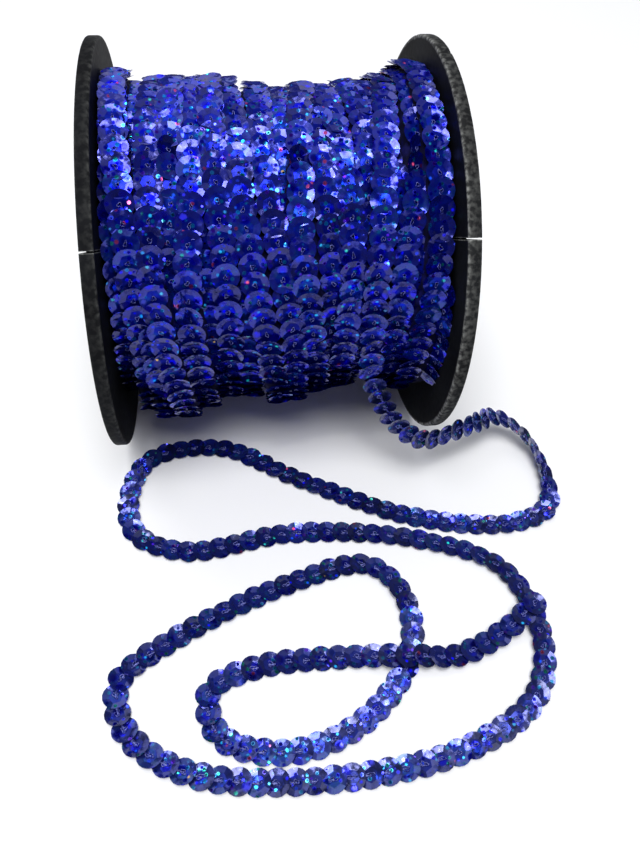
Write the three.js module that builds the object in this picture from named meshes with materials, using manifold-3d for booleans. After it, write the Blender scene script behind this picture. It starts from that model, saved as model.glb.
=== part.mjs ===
// Spool of sequin trim: a black moulded spool, wound full of narrow sequin trim, with one loose end.
// Millimetres. The spool's axis lies along X, +Z is up, the floor is Z = 0, the loose end lies at -Y.
import * as THREE from 'three';
import Module from 'manifold-3d';
import { mergeVertices } from 'three/addons/utils/BufferGeometryUtils.js';

// Spool sizes.
const FLANGE_DIAMETER = 102;
const FLANGE_THICKNESS = 3;
const WIDTH_BETWEEN_FLANGES = 77.3;
const BORE_DIAMETER = 22;
const BARREL_DIAMETER = 30;
const RIM_CHAMFER = 0.7;
const FLAT_HALF_ANGLE = 4.4;
const SLIT_WIDTH = 0.4;
const SLIT_INNER_RADIUS = 39.5;
const SLIT_ANGLE = 39;
const CLEARANCE = 0.3;
const FLANGE_FACETS = 80;
const BARREL_FACETS = 40;

// Trim sizes.
const TRIM_WIDTH = 6;
const TRIM_THICKNESS = 1.8;
const TRIM_FLAT_SHARE = 0.72;
const TRIM_EDGE_SHARE = 0.35;
const TAIL_STEPS = 80;

// Winding sizes.
const WINDING_STEPS_X = 54;
const WINDING_STEPS_ROUND = 84;
const TRENCH_DEPTH = 2.1;
const TURN_HALF_WIDTH = 3.1;
const TURN_CROWN = 0.9;
const TURN_SINK = 0.1;
const TRENCH_SPREAD = 24;
const BACK_SAG = 0.5;

const FLANGE_RADIUS = FLANGE_DIAMETER / 2;
const INNER_FACE = WIDTH_BETWEEN_FLANGES / 2;
const AXIS_Z = FLANGE_RADIUS * Math.cos(THREE.MathUtils.degToRad(FLAT_HALF_ANGLE));

// Turns of the winding's outer layers. Angles are up from the level front of the spool.
// The seven places are the turn's middle along X at the seven angles below.
// Then its radius at the top, at the front and at the bottom, and the turn it leads to round the back.
const TURN_ANGLES = [110, 80, 55, 30, 5, -15, -35];
const TURN_START = 110;
const FRONT_END = -35;
const TURN_END = TURN_START - 360;
const TURNS = [
  { at: [-35.4, -35.4, -35.4, -35.4, -35.4, -35.4, -35.4], top: 42.6, front: 38.6, bottom: 36.4, next: 0 },
  { at: [-35.4, -35.3, -33.8, -32.8, -31.4, -31.2, -31.8], top: 43.6, front: 41.0, bottom: 42.0, next: 2 },
  { at: [-32.2, -31.4, -31.3, -30.5, -28.8, -28.3, -28.5], top: 39.8, front: 39.7, bottom: 44.2, next: 3 },
  { at: [-26.6, -27.9, -27.6, -28.7, -26.4, -24.0, -22.9], top: 41.1, front: 42.0, bottom: 44.6, next: 4 },
  { at: [-22.4, -23.2, -23.3, -24.3, -22.8, -21.5, -20.4], top: 41.3, front: 40.2, bottom: 42.2, next: 5 },
  { at: [-18.6, -18.2, -19.1, -21.0, -20.0, -18.7, -17.6], top: 40.9, front: 41.6, bottom: 42.0, next: 6 },
  { at: [-14.0, -13.8, -13.4, -12.6, -12.2, -12.0, -12.2], top: 41.4, front: 41.0, bottom: 39.7, next: 7 },
  { at: [-9.9, -8.8, -8.5, -6.4, -3.3, -1.7, 0.9], top: 41.0, front: 41.6, bottom: 41.9, next: 8 },
  { at: [-2.9, -2.9, -2.5, -0.2, 2.7, 3.6, 4.6], top: 39.8, front: 40.6, bottom: 41.3, next: 9 },
  { at: [8.7, 5.7, 4.4, 4.9, 7.0, 8.8, 9.3], top: 39.6, front: 41.2, bottom: 39.6, next: 10 },
  { at: [12.8, 10.4, 10.4, 11.2, 11.1, 11.3, 11.6], top: 39.0, front: 40.0, bottom: 39.0, next: 11 },
  { at: [14.2, 14.4, 15.6, 15.7, 14.7, 14.5, 14.8], top: 39.0, front: 41.0, bottom: 38.7, next: 12 },
  { at: [19.4, 20.3, 20.2, 19.2, 18.2, 18.0, 18.0], top: 39.9, front: 39.8, bottom: 38.2, next: 13 },
  { at: [28.3, 25.6, 23.0, 21.1, 21.1, 21.8, 22.9], top: 41.3, front: 41.8, bottom: 37.6, next: -1 },
  { at: [33.0, 32.3, 30.7, 26.9, 26.7, 27.3, 27.6], top: 42.2, front: 40.6, bottom: 38.6, next: 14 },
  { at: [35.3, 35.3, 35.3, 34.8, 32.3, 31.9, 31.9], top: 44.4, front: 42.0, bottom: 39.8, next: 15 },
  { at: [-16.3, -16.2, -16.3, -16.6, -16.0, -15.9, -15.3], top: 39.2, front: 39.4, bottom: 39.8, next: 16 },
  { at: [-11.5, -11.3, -11.0, -9.6, -8.0, -7.0, -6.3], top: 39.2, front: 39.4, bottom: 39.8, next: 17 },
  { at: [3.0, 1.5, 1.0, 2.2, 4.8, 6.6, 7.2], top: 38.2, front: 38.8, bottom: 39.4, next: 18 },
  { at: [23.6, 22.6, 26.8, 31.0, 29.4, 29.4, 29.4], top: 40.0, front: 39.4, bottom: 38.4, next: 19 },
  { at: [37.0, 37.0, 37.0, 37.0, 36.8, 36.8, 36.8], top: 38.4, front: 40.4, bottom: 40.8, next: 20 },
];

// Route of the loose end's middle line: off the winding's lower front, down to the floor, round its loops.
// Columns x, y, z.
const TAIL_ROUTE = [
  [22.5, -39.5, 38.5],
  [30.0, -42.0, 23.5],
  [38.5, -43.0, 17.0],
  [51.5, -38.0, 15.0],
  [64.5, -31.0, 9.0],
  [73.5, -38.5, 4.0],
  [73.0, -56.0, 1.6],
  [61.5, -60.5, 1.0],
  [35.5, -56.5, 1.0],
  [6.0, -42.0, 1.0],
  [-15.5, -29.5, 1.0],
  [-35.0, -32.0, 1.0],
  [-40.5, -45.0, 1.0],
  [-38.0, -55.5, 1.0],
  [-25.5, -61.5, 1.0],
  [2.0, -58.5, 1.0],
  [34.0, -63.0, 1.1],
  [55.0, -73.5, 1.4],
  [60.0, -92.0, 1.7],
  [54.5, -106.5, 1.4],
  [36.5, -116.0, 1.0],
  [5.0, -119.5, 1.0],
  [-26.0, -115.0, 1.0],
  [-39.5, -105.0, 1.0],
  [-41.5, -94.0, 1.0],
  [-28.5, -84.5, 1.0],
  [1.0, -72.5, 1.0],
  [20.5, -69.5, 1.2],
  [28.0, -78.5, 1.6],
  [27.0, -93.5, 1.0],
  [13.5, -108.0, 1.0],
  [-4.5, -113.0, 1.0],
  [-19.0, -108.0, 1.0],
  [-21.0, -98.0, 1.0],
  [-10.5, -93.5, 1.0],
  [10.5, -93.0, 1.2],
  [26.5, -95.0, 3.5],
  [38.0, -95.5, 2.0],
  [50.5, -91.0, 2.4],
  [60.0, -85.0, 4.3],
];

// Which way the trim's face looks, at some of the route's points.
// Columns: the point's place in the route, x, y, z.
const TAIL_FACE = [
  [0, -0.15, -0.96, -0.2],
  [1, -0.2, -0.97, 0.0],
  [2, 0.2, -0.97, 0.12],
  [2.5, 0.36, -0.9, 0.28],
  [3, 0.5, -0.65, 0.58],
  [3.5, 0.58, -0.3, 0.76],
  [4, 0.5, -0.03, 0.87],
  [5.3, 0.6, 0.0, 0.8],
  [5.6, 0.45, -0.05, 0.88],
  [5.9, 0.12, 0.0, 1.0],
  [7, 0.0, 0.0, 1.0],
  [16, 0.0, 0.0, 1.0],
  [17, 0.15, 0.1, 1.0],
  [18, 0.25, 0.0, 1.0],
  [19, 0.12, -0.08, 1.0],
  [20, 0.0, 0.0, 1.0],
  [27, 0.0, 0.05, 1.0],
  [28, 0.22, 0.05, 1.0],
  [29, 0.0, 0.0, 1.0],
  [39, 0.0, 0.0, 1.0],
];

// Value of a list at a place between its entries, eased a little at each entry.
function blend(places, values, at) {
  const rising = places[places.length - 1] > places[0];
  for (let i = 1; i < places.length; i += 1) {
    const inside = rising ? at <= places[i] : at >= places[i];
    if (inside || i === places.length - 1) {
      const part = (at - places[i - 1]) / (places[i] - places[i - 1]);
      const held = Math.min(1, Math.max(0, part));
      const eased = held * held * (3 - 2 * held);
      return values[i - 1] + (values[i] - values[i - 1]) * (0.5 * held + 0.5 * eased);
    }
  }
  return values[0];
}

// Middle and radius of a turn at an angle from its start down through its end, a whole round later.
function turnAt(turn, angle) {
  if (angle >= FRONT_END) {
    const radii = [turn.top, turn.top, 0.5 * (turn.top + turn.front), turn.front];
    radii.push(0.55 * turn.front + 0.45 * turn.bottom);
    radii.push(0.2 * turn.front + 0.8 * turn.bottom);
    radii.push(turn.bottom);
    return { x: blend(TURN_ANGLES, turn.at, angle), r: blend(TURN_ANGLES, radii, angle) };
  }
  if (turn.next < 0) return null;
  const after = TURNS[turn.next];
  const ends = [FRONT_END, TURN_END];
  const x = blend(ends, [turn.at[6], after.at[0]], angle);
  const sag = BACK_SAG * Math.sin(Math.PI * (FRONT_END - angle) / (FRONT_END - TURN_END));
  return { x, r: blend(ends, [turn.bottom, after.top], angle) + sag };
}

// Outer radius of the winding: the highest turn there, or a trench floor a little below the turns about it.
function windingRadius(x, angle) {
  let sum = 0;
  let weight = 0;
  let high = 0;
  for (const turn of TURNS) {
    const here = turnAt(turn, angle);
    if (here) {
      const away = Math.abs(x - here.x);
      const near = Math.exp(-away * away / TRENCH_SPREAD);
      sum += near * here.r;
      weight += near;
      if (away < TURN_HALF_WIDTH) {
        const crown = TURN_CROWN * Math.sqrt(1 - (away / TURN_HALF_WIDTH) ** 2);
        high = Math.max(high, here.r + crown - TURN_SINK);
      }
    }
  }
  return Math.max(high, sum / weight - TRENCH_DEPTH);
}

// Face list turned outward if it came inside out.
function facingOut(positions, faces) {
  let volume = 0;
  const a = new THREE.Vector3();
  const b = new THREE.Vector3();
  const c = new THREE.Vector3();
  for (let i = 0; i < faces.length; i += 3) {
    a.fromArray(positions, 3 * faces[i]);
    b.fromArray(positions, 3 * faces[i + 1]);
    c.fromArray(positions, 3 * faces[i + 2]);
    volume += a.dot(b.cross(c));
  }
  if (volume < 0) {
    for (let i = 0; i < faces.length; i += 3) {
      [faces[i + 1], faces[i + 2]] = [faces[i + 2], faces[i + 1]];
    }
  }
  const geometry = new THREE.BufferGeometry();
  geometry.setAttribute('position', new THREE.Float32BufferAttribute(positions, 3));
  geometry.setIndex(faces);
  geometry.computeVertexNormals();
  return geometry;
}

// Closed ring about the spool's axis: a closed outline of [x, radius] at each of the angles in turn.
function ringSolid(angles, outlineAt) {
  const positions = [];
  const faces = [];
  let count = 0;
  angles.forEach((angle) => {
    const outline = outlineAt(angle);
    count = outline.length;
    const rad = THREE.MathUtils.degToRad(angle);
    outline.forEach(([x, r]) => positions.push(x, -r * Math.cos(rad), AXIS_Z + r * Math.sin(rad)));
  });
  for (let j = 0; j < angles.length; j += 1) {
    const here = j * count;
    const there = ((j + 1) % angles.length) * count;
    for (let i = 0; i < count; i += 1) {
      const k = (i + 1) % count;
      faces.push(here + i, here + k, there + k, here + i, there + k, there + i);
    }
  }
  return facingOut(positions, faces);
}

// Angles round a spool piece, with one wider flat facet straight down that it stands on.
function anglesWithFlat(facets) {
  const list = [];
  const span = 360 - 2 * FLAT_HALF_ANGLE;
  for (let i = 0; i < facets; i += 1) {
    list.push(-90 + FLAT_HALF_ANGLE + span * i / (facets - 1));
  }
  return list;
}

// One flange: a flat disc with chamfered rim edges and a round bore.
function flangeSolid(side) {
  const inner = side * INNER_FACE;
  const outer = side * (INNER_FACE + FLANGE_THICKNESS);
  const c = RIM_CHAMFER;
  return ringSolid(anglesWithFlat(FLANGE_FACETS), () => [
    [inner, BORE_DIAMETER / 2],
    [inner, FLANGE_RADIUS - c],
    [inner + side * c, FLANGE_RADIUS],
    [outer - side * c, FLANGE_RADIUS],
    [outer, FLANGE_RADIUS - c],
    [outer, BORE_DIAMETER / 2],
  ]);
}

const wasm = await Module();
wasm.setup();

// Geometry as a solid for cutting.
function toSolid(geometry) {
  const numbers = geometry.getAttribute('position').array;
  return new wasm.Manifold(new wasm.Mesh({
    numProp: 3,
    vertProperties: new Float32Array(numbers),
    triVerts: new Uint32Array(geometry.index.array),
  }));
}

// Geometry of a cut solid.
function fromSolid(solid) {
  const mesh = solid.getMesh();
  const geometry = new THREE.BufferGeometry();
  geometry.setAttribute('position', new THREE.Float32BufferAttribute(mesh.vertProperties, 3));
  geometry.setIndex([...mesh.triVerts]);
  geometry.computeVertexNormals();
  return geometry;
}

// Slit that holds the trim's end: a narrow cut in from the rim.
function withSlit(geometry, side) {
  const length = FLANGE_RADIUS - SLIT_INNER_RADIUS + 4;
  const box = new THREE.BoxGeometry(FLANGE_THICKNESS * 3, length, SLIT_WIDTH);
  const middle = SLIT_INNER_RADIUS + length / 2;
  const rad = THREE.MathUtils.degToRad(SLIT_ANGLE);
  box.rotateX(-rad);
  box.translate(
    side * (INNER_FACE + FLANGE_THICKNESS / 2),
    -middle * Math.cos(rad),
    AXIS_Z + middle * Math.sin(rad),
  );
  box.deleteAttribute('normal');
  box.deleteAttribute('uv');
  const cutter = mergeVertices(box);
  return fromSolid(toSolid(geometry).subtract(toSolid(cutter)));
}

// Even angles for the round pieces between the flanges.
function evenAngles(count) {
  return Array.from({ length: count }, (_, i) => TURN_START - 360 * i / count);
}

// Barrel: the tube between the flanges, open right through.
function barrelSolid() {
  const end = INNER_FACE - CLEARANCE;
  return ringSolid(anglesWithFlat(BARREL_FACETS), () => [
    [-end, BORE_DIAMETER / 2],
    [-end, BARREL_DIAMETER / 2],
    [end, BARREL_DIAMETER / 2],
    [end, BORE_DIAMETER / 2],
  ]);
}

// Winding: one ring whose outside follows the turns of trim.
function windingSolid() {
  const end = INNER_FACE - CLEARANCE;
  const bore = BARREL_DIAMETER / 2 + CLEARANCE;
  return ringSolid(evenAngles(WINDING_STEPS_ROUND), (angle) => {
    const outline = [];
    for (let i = 0; i <= WINDING_STEPS_X; i += 1) {
      const x = -end + 2 * end * i / WINDING_STEPS_X;
      outline.push([x, windingRadius(x, angle)]);
    }
    outline.push([end, bore], [-end, bore]);
    return outline;
  });
}

// Loose end's line, whose cross-section is turned so that the trim's face looks where the table says.
class TrimLine extends THREE.CatmullRomCurve3 {
  constructor(points) {
    super(points, false, 'centripetal');
    this.arcLengthDivisions = 1600;
  }

  faceAt(u) {
    const place = this.getUtoTmapping(u) * (this.points.length - 1);
    const places = TAIL_FACE.map((row) => row[0]);
    const parts = [1, 2, 3].map((k) => blend(places, TAIL_FACE.map((row) => row[k]), place));
    return new THREE.Vector3(...parts);
  }

  computeFrenetFrames(segments) {
    const frames = { tangents: [], normals: [], binormals: [] };
    for (let i = 0; i <= segments; i += 1) {
      const along = this.getTangentAt(i / segments);
      const across = new THREE.Vector3().crossVectors(this.faceAt(i / segments), along).normalize();
      frames.tangents.push(along);
      frames.normals.push(across);
      frames.binormals.push(new THREE.Vector3().crossVectors(along, across));
    }
    return frames;
  }
}

// Loose end: a flat eight-sided section carried along the line.
function tailSolid() {
  const w = TRIM_WIDTH / 2;
  const t = TRIM_THICKNESS / 2;
  const flat = TRIM_FLAT_SHARE * w;
  const edge = TRIM_EDGE_SHARE * t;
  const section = new THREE.Shape([
    new THREE.Vector2(w, -edge),
    new THREE.Vector2(w, edge),
    new THREE.Vector2(flat, t),
    new THREE.Vector2(-flat, t),
    new THREE.Vector2(-w, edge),
    new THREE.Vector2(-w, -edge),
    new THREE.Vector2(-flat, -t),
    new THREE.Vector2(flat, -t),
  ]);
  const line = new TrimLine(TAIL_ROUTE.map((p) => new THREE.Vector3(...p)));
  return new THREE.ExtrudeGeometry(section, { steps: TAIL_STEPS, extrudePath: line });
}

const plastic = new THREE.MeshStandardMaterial({ color: 0x1b1c1d, roughness: 0.45 });
const sequins = new THREE.MeshStandardMaterial({ color: 0x14148c, roughness: 0.3, metalness: 0.4 });

const root = new THREE.Group();
function add(name, geometry, material) {
  const mesh = new THREE.Mesh(geometry, material);
  mesh.name = name;
  root.add(mesh);
}
add('flange_left', withSlit(flangeSolid(-1), -1), plastic);
add('flange_right', withSlit(flangeSolid(1), 1), plastic);
add('barrel', barrelSolid(), plastic);
add('winding', windingSolid(), sequins);
add('trim_tail', tailSolid(), sequins);

export default root;
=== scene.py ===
import math

import bpy
import numpy as np
from mathutils import Matrix, Vector


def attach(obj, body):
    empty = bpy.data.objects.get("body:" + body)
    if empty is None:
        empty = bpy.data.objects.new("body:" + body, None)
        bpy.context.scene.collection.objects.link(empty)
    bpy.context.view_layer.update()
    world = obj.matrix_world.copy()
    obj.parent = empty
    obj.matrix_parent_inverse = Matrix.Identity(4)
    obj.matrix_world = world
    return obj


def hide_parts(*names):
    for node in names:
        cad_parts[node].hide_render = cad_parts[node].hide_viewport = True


# A black moulded spool wound full of blue sequin trim, with its loose end lying in loops in front.
# Sizes are in millimetres and angles in degrees, in the shared frame. put_mesh turns them to metres.
MM = 0.001

# Seeds of the random draws and of the slow noises.
SEED = 20
TAIL_SEED = 3
WOUND_SEED = 100
UNDER_SEED = 300
ROLL_SEED_STEP = 20

# Spool sizes, as in the solids. FLAT_HALF_ANGLE is half the flat place that the spool stands on.
FLANGE_RADIUS = 51.0
FLANGE_THICKNESS = 3.0
INNER_FACE = 38.65
BORE_RADIUS = 11.0
BARREL_RADIUS = 15.0
FLAT_HALF_ANGLE = 4.4
AXIS_Z = FLANGE_RADIUS * math.cos(math.radians(FLAT_HALF_ANGLE))
CLEARANCE = 0.3
SLIT_WIDTH = 0.4
SLIT_INNER_RADIUS = 39.5
SLIT_ANGLE = 39.0

# A sequin: its radius, its hole's radius, half the width of its flat middle, the slope of the facets
# bent up round that, their number, the points round its edge, the film's thickness, and the height
# of its seat on the strip.
SEQUIN_RADIUS = 3.0
SEQUIN_HOLE = 0.22
SEQUIN_FLAT = 1.4
SEQUIN_SLOPE = 0.24
SEQUIN_FACETS = 6
SEQUIN_POINTS = 18
SEQUIN_FILM = 0.11
SEQUIN_SEAT = -0.4

# How the sequins lie on the loose end and on the winding: the distance from one to the next, the lean
# towards the loose end, the random part of it, and the slow roll to the sides with its wavelength.
# The random part of the roll is the lean's times ROLL_JITTER_SHARE.
TAIL_PITCH = 4.08
TAIL_TILT = 10.0
TAIL_JITTER = 2.5
TAIL_ROLL = 5.0
TAIL_ROLL_LENGTH = 60.0
WOUND_PITCH = 4.16
WOUND_TILT = 9.0
WOUND_JITTER = 4.0
WOUND_ROLL = 9.0
WOUND_ROLL_LENGTH = 45.0
ROLL_JITTER_SHARE = 1.3

# Factor by which the wound sequins are wider, and how far their row strays to the sides, with the
# wavelength of that.
WOUND_SPREAD = 1.06
WOUND_STRAY = 0.35
WOUND_STRAY_LENGTH = 34.0

# Stitch: points round the loop, sides and radius of its thread, the loop's mean reach with the waves
# on it as (height, times round), its lift and the wave on that, its stretch along the strip, its place
# ahead of the hole, its stretch across the strip, and the factor for the winding's stitches.
STITCH_POINTS = 14
THREAD_SIDES = 4
THREAD_RADIUS = 0.11
STITCH_REACH = 0.66
STITCH_WAVES = [(0.2, 2), (0.2, 3), (0.14, 5)]
STITCH_LIFT = 0.22
STITCH_LIFT_WAVE = 0.14
STITCH_LENGTHWISE = 1.15
STITCH_AHEAD = 0.2
STITCH_CROSSWISE = 0.75
WOUND_STITCH_SIZE = 0.75

# Chain of thread under the loose end: its points, sides, radius, depth below the strip's middle, and
# the share of its radius that its ends keep.
CHAIN_POINTS = 500
CHAIN_SIDES = 6
CHAIN_RADIUS = 0.22
CHAIN_DEPTH = 0.62
CHAIN_END_SHARE = 0.02

# Samples between two points of the loose end's route, and how many of them make a step of its path.
ROUTE_SAMPLES = 40
PATH_STEP = 4

# Turns of the winding's outer layers. Angles are up from the level front of the spool.
# Columns: middle along X at the seven angles, radius at the top, the front and the bottom,
# and the turn it leads to round the back: its own number where it closes on itself, and -1 for the
# one that becomes the loose end.
TURN_ANGLES = [110, 80, 55, 30, 5, -15, -35]
TURN_START = 110
FRONT_END = -35
TURN_END = TURN_START - 360
BACK_SAG = 0.5
TURNS = [
    ([-35.4, -35.4, -35.4, -35.4, -35.4, -35.4, -35.4], 42.6, 38.6, 36.4, 0),
    ([-35.4, -35.3, -33.8, -32.8, -31.4, -31.2, -31.8], 43.6, 41.0, 42.0, 2),
    ([-32.2, -31.4, -31.3, -30.5, -28.8, -28.3, -28.5], 39.8, 39.7, 44.2, 3),
    ([-26.6, -27.9, -27.6, -28.7, -26.4, -24.0, -22.9], 41.1, 42.0, 44.6, 4),
    ([-22.4, -23.2, -23.3, -24.3, -22.8, -21.5, -20.4], 41.3, 40.2, 42.2, 5),
    ([-18.6, -18.2, -19.1, -21.0, -20.0, -18.7, -17.6], 40.9, 41.6, 42.0, 6),
    ([-14.0, -13.8, -13.4, -12.6, -12.2, -12.0, -12.2], 41.4, 41.0, 39.7, 7),
    ([-9.9, -8.8, -8.5, -6.4, -3.3, -1.7, 0.9], 41.0, 41.6, 41.9, 8),
    ([-2.9, -2.9, -2.5, -0.2, 2.7, 3.6, 4.6], 39.8, 40.6, 41.3, 9),
    ([8.7, 5.7, 4.4, 4.9, 7.0, 8.8, 9.3], 39.6, 41.2, 39.6, 10),
    ([12.8, 10.4, 10.4, 11.2, 11.1, 11.3, 11.6], 39.0, 40.0, 39.0, 11),
    ([14.2, 14.4, 15.6, 15.7, 14.7, 14.5, 14.8], 39.0, 41.0, 38.7, 12),
    ([19.4, 20.3, 20.2, 19.2, 18.2, 18.0, 18.0], 39.9, 39.8, 38.2, 13),
    ([28.3, 25.6, 23.0, 21.1, 21.1, 21.8, 22.9], 41.3, 41.8, 37.6, -1),
    ([33.0, 32.3, 30.7, 26.9, 26.7, 27.3, 27.6], 42.2, 40.6, 38.6, 14),
    ([35.3, 35.3, 35.3, 34.8, 32.3, 31.9, 31.9], 44.4, 42.0, 39.8, 15),
    ([-16.3, -16.2, -16.3, -16.6, -16.0, -15.9, -15.3], 39.2, 39.4, 39.8, 16),
    ([-11.5, -11.3, -11.0, -9.6, -8.0, -7.0, -6.3], 39.2, 39.4, 39.8, 17),
    ([3.0, 1.5, 1.0, 2.2, 4.8, 6.6, 7.2], 38.2, 38.8, 39.4, 18),
    ([23.6, 22.6, 26.8, 31.0, 29.4, 29.4, 29.4], 40.0, 39.4, 38.4, 19),
    ([37.0, 37.0, 37.0, 37.0, 36.8, 36.8, 36.8], 38.4, 40.4, 40.8, 20),
]

# Between these two angles the last turn's radius eases to the one at which the loose end leaves.
EASING_ANGLE = 10.0
LEAVING_ANGLE = -17.0
LEAVING_RADIUS = 41.1

# Turns that run on into each other, outer and lower turns that close on themselves, and a short
# strip that stands on edge beside the right flange.
FIRST_HELIX_TURN = 1
LAST_HELIX_TURN = 13
OUTER_LOOPS = [0, 14, 15]
UNDER_LOOPS = [16, 17, 18, 19]
EDGE_LOOP = 20
EDGE_LOOP_START = 24.0
EDGE_LOOP_END = -24.0
EDGE_LOOP_ROLL = -55.0

# Trenches between the turns and crowns on them, as in the solids. Then the body's distance below that
# outside, and the points of its grid.
TRENCH_DEPTH = 2.1
TRENCH_SPREAD = 24.0
TURN_HALF_WIDTH = 3.1
TURN_CROWN = 0.9
TURN_SINK = 0.1
BODY_BELOW = 2.3
BODY_COLUMNS = 161
BODY_ROWS = 240

# Places where a turn lies over on its side. Columns: turn, angle, half the stretch in degrees, roll.
ROLLED_PLACES = [(4, 68.0, 6.0, 50.0), (4, 21.0, 8.0, -48.0), (14, 64.0, 6.0, 48.0), (9, 66.0, 4.0, 30.0)]

# Route of the loose end, as in the solids. Columns x, y, z.
TAIL_ROUTE = [
    (22.5, -39.5, 38.5), (30.0, -42.0, 23.5), (38.5, -43.0, 17.0), (51.5, -38.0, 15.0),
    (64.5, -31.0, 9.0), (73.5, -38.5, 4.0), (73.0, -56.0, 1.6), (61.5, -60.5, 1.0),
    (35.5, -56.5, 1.0), (6.0, -42.0, 1.0), (-15.5, -29.5, 1.0), (-35.0, -32.0, 1.0),
    (-40.5, -45.0, 1.0), (-38.0, -55.5, 1.0), (-25.5, -61.5, 1.0), (2.0, -58.5, 1.0),
    (34.0, -63.0, 1.1), (55.0, -73.5, 1.4), (60.0, -92.0, 1.7), (54.5, -106.5, 1.4),
    (36.5, -116.0, 1.0), (5.0, -119.5, 1.0), (-26.0, -115.0, 1.0), (-39.5, -105.0, 1.0),
    (-41.5, -94.0, 1.0), (-28.5, -84.5, 1.0), (1.0, -72.5, 1.0), (20.5, -69.5, 1.2),
    (28.0, -78.5, 1.6), (27.0, -93.5, 1.0), (13.5, -108.0, 1.0), (-4.5, -113.0, 1.0),
    (-19.0, -108.0, 1.0), (-21.0, -98.0, 1.0), (-10.5, -93.5, 1.0), (10.5, -93.0, 1.2),
    (26.5, -95.0, 3.5), (38.0, -95.5, 2.0), (50.5, -91.0, 2.4), (60.0, -85.0, 4.3),
]

# Which way the trim's face looks at some of the route's points. Columns: place in the route, x, y, z.
TAIL_FACE = [
    (0, -0.15, -0.96, 0.1), (1, -0.2, -0.97, 0.3), (2, 0.2, -0.97, 0.4), (2.5, 0.36, -0.9, 0.28),
    (3, 0.5, -0.65, 0.58), (3.5, 0.58, -0.3, 0.76), (4, 0.5, -0.03, 0.87), (5.3, 0.6, 0.0, 0.8),
    (5.6, 0.45, -0.05, 0.88), (5.9, 0.12, 0.0, 1.0), (7, 0.0, 0.0, 1.0),
    (16, 0.0, 0.0, 1.0), (17, 0.15, 0.1, 1.0), (18, 0.25, 0.0, 1.0), (19, 0.12, -0.08, 1.0),
    (20, 0.0, 0.0, 1.0), (27, 0.0, 0.05, 1.0), (28, 0.22, 0.05, 1.0), (29, 0.0, 0.0, 1.0),
    (39, 0.0, 0.0, 1.0),
]

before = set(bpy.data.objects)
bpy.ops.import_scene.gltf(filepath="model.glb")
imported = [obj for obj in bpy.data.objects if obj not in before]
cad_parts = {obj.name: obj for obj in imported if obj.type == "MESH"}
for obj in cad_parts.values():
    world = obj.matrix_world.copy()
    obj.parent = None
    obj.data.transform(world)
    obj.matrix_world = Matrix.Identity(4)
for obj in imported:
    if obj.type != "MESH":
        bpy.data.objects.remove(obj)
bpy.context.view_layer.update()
rng = np.random.default_rng(SEED)


# Camera: position and axes in the shared frame, and the lens, all worked out from the photo's outline.
CAMERA_AT = (-15.8765, -172.4439, 195.5476)
CAMERA_RIGHT = (0.99094207, -0.12122658, 0.05777475)
CAMERA_UP = (0.05196816, 0.74287869, 0.66740584)
CAMERA_FORWARD = (0.12382696, 0.65835808, -0.74244967)
IMAGE_WIDTH = 640
FOCAL_PIXELS = 844.0
CENTRE_ABOVE_MIDDLE = 60.8
SENSOR_WIDTH = 36.0


def make_camera():
    """Camera at the photograph's viewing angle, with its picture centre a little above the middle."""
    data = bpy.data.cameras.new("camera")
    data.sensor_fit = "HORIZONTAL"
    data.sensor_width = SENSOR_WIDTH
    data.lens = FOCAL_PIXELS / IMAGE_WIDTH * SENSOR_WIDTH
    data.shift_y = -CENTRE_ABOVE_MIDDLE / IMAGE_WIDTH
    data.clip_start = 0.005
    data.clip_end = 10.0
    camera = bpy.data.objects.new("camera", data)
    bpy.context.collection.objects.link(camera)
    axes = Matrix((CAMERA_RIGHT, CAMERA_UP, [-value for value in CAMERA_FORWARD])).transposed()
    camera.matrix_world = Matrix.Translation([value * MM for value in CAMERA_AT]) @ axes.to_4x4()
    bpy.context.scene.camera = camera


make_camera()


def put_mesh(name, points, quads, attributes=None, smooth=False):
    """Mesh object at the origin from points in millimetres and an array of four-cornered faces."""
    points = np.asarray(points, np.float64).reshape(-1, 3) * MM
    quads = np.asarray(quads, np.int32).reshape(-1, 4)
    mesh = bpy.data.meshes.new(name)
    mesh.vertices.add(len(points))
    mesh.vertices.foreach_set("co", points.astype(np.float32).ravel())
    mesh.loops.add(quads.size)
    mesh.loops.foreach_set("vertex_index", quads.ravel())
    mesh.polygons.add(len(quads))
    mesh.polygons.foreach_set("loop_start", np.arange(0, quads.size, 4, dtype=np.int32))
    mesh.polygons.foreach_set("loop_total", np.full(len(quads), 4, np.int32))
    mesh.polygons.foreach_set("use_smooth", np.full(len(quads), smooth))
    for label, values in (attributes or {}).items():
        layer = mesh.attributes.new(label, "FLOAT", "POINT")
        layer.data.foreach_set("value", np.asarray(values, np.float32).ravel())
    mesh.update(calc_edges=True)
    mesh.validate()
    piece = bpy.data.objects.new(name, mesh)
    bpy.context.collection.objects.link(piece)
    return piece


def face_outward(piece):
    """Turns all faces the other way if the piece is inside out."""
    mesh = piece.data
    mesh.calc_loop_triangles()
    points = np.zeros(len(mesh.vertices) * 3)
    mesh.vertices.foreach_get("co", points)
    corners = np.zeros(len(mesh.loop_triangles) * 3, np.int32)
    mesh.loop_triangles.foreach_get("vertices", corners)
    a, b, c = points.reshape(-1, 3)[corners.reshape(-1, 3)].transpose(1, 0, 2)
    if np.einsum("ij,ij->i", a, np.cross(b, c)).sum() < 0:
        mesh.flip_normals()


def unit(vectors):
    """Vectors scaled to length one."""
    return vectors / np.linalg.norm(vectors, axis=-1, keepdims=True)


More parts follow.
